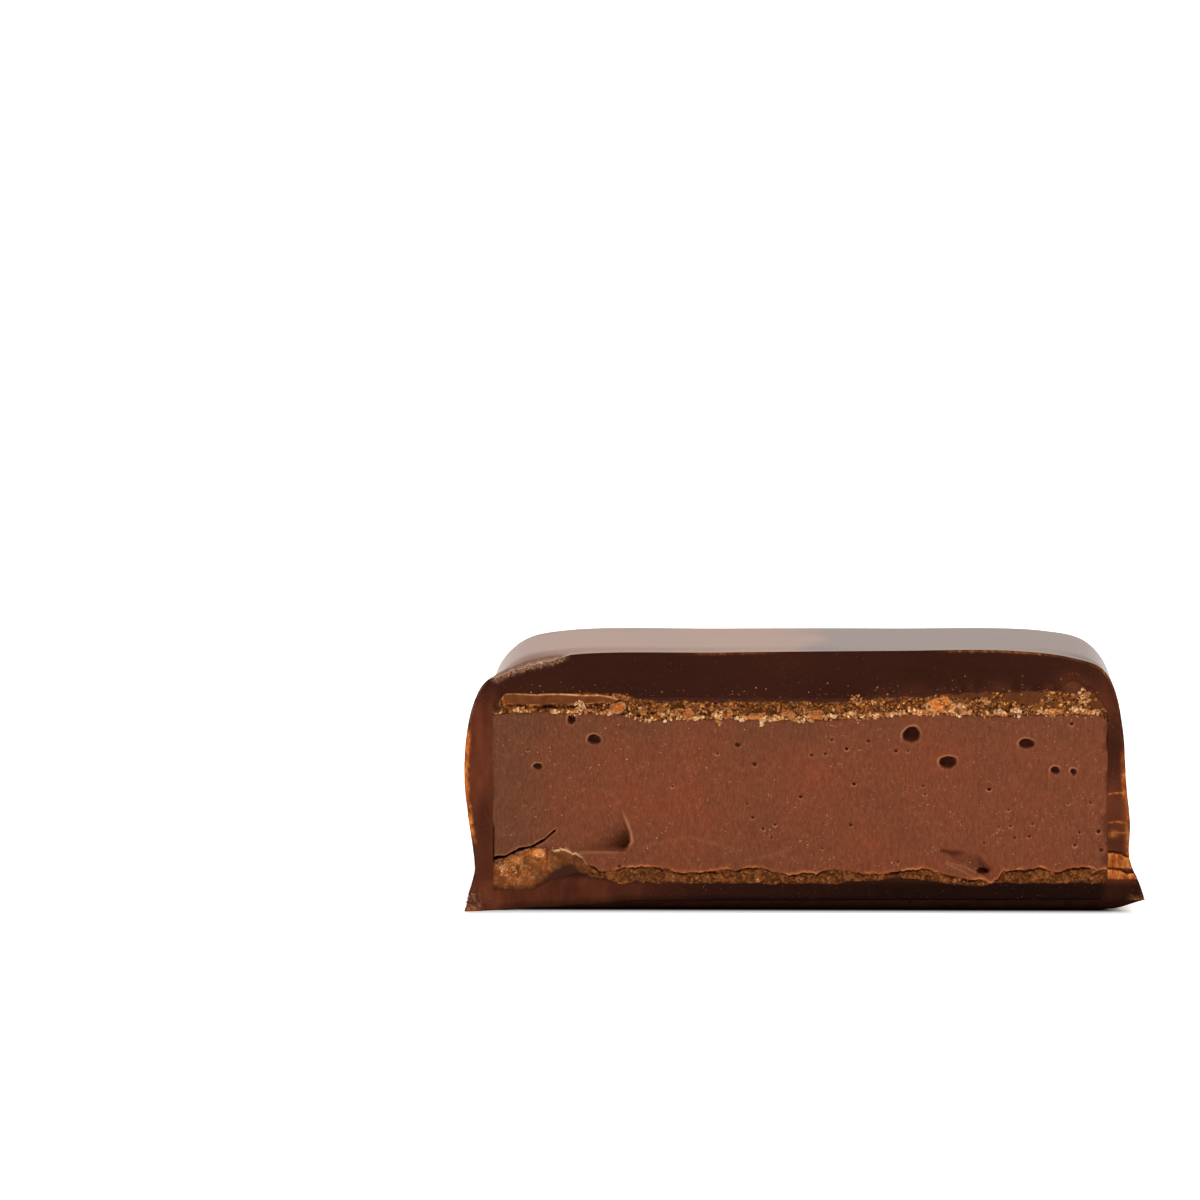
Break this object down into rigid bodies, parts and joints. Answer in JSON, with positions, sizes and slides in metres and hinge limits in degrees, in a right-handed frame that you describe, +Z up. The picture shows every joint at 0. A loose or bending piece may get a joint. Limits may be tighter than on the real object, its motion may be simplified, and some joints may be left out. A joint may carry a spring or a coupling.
{
  "type": "chocolate bonbon, cut half",
  "caption": "Half of a square enrobed chocolate bonbon, cut through to show ganache between crumbly praline layers.",
  "frame": {"origin": "middle of the underside's bounding box, on the surface that the bonbon rests on", "axes": "+X along the cut face to the right as it is seen, +Y from the cut face to the far wall, +Z up"},
  "size_m": [0.0332, 0.016, 0.0129],
  "materials": {
    "coat": "glossy dark chocolate with milk chocolate marbling, satin where it was cut",
    "ganache": "satin, smooth, with small air bubbles and knife marks",
    "praline": "matte, crumbly, with golden toasted crumbs"
  },
  "bodies": {
    "root": {"coat": "coat", "ganache": "ganache", "praline_top": "praline", "praline_base": "praline"}
  },
  "joints": []
}
